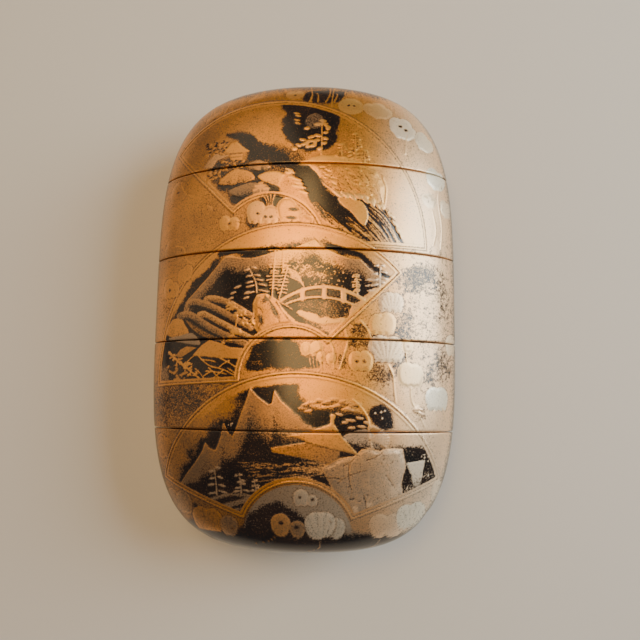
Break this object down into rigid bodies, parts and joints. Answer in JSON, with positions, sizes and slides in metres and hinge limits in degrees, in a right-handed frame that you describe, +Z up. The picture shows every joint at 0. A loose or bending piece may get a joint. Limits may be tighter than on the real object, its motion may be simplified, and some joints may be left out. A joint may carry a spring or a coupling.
{
  "type": "inro case",
  "caption": "Slim tiered lacquer case with domed ends, stacked compartments under a lid, and cord channels through both sides.",
  "frame": {"origin": "middle of the footprint, on the small resting flat of the back", "axes": "+X across the broad face to the right, +Y towards the lid end, +Z up out of the decorated front"},
  "size_m": [0.06, 0.092, 0.0248],
  "materials": {
    "lacquer": "gold-powdered and dark lacquer over wood, semi-gloss, worn"
  },
  "bodies": {
    "root": {"lid": "lacquer", "first_case": "lacquer", "second_case": "lacquer", "third_case": "lacquer", "bottom_case": "lacquer"}
  },
  "joints": []
}
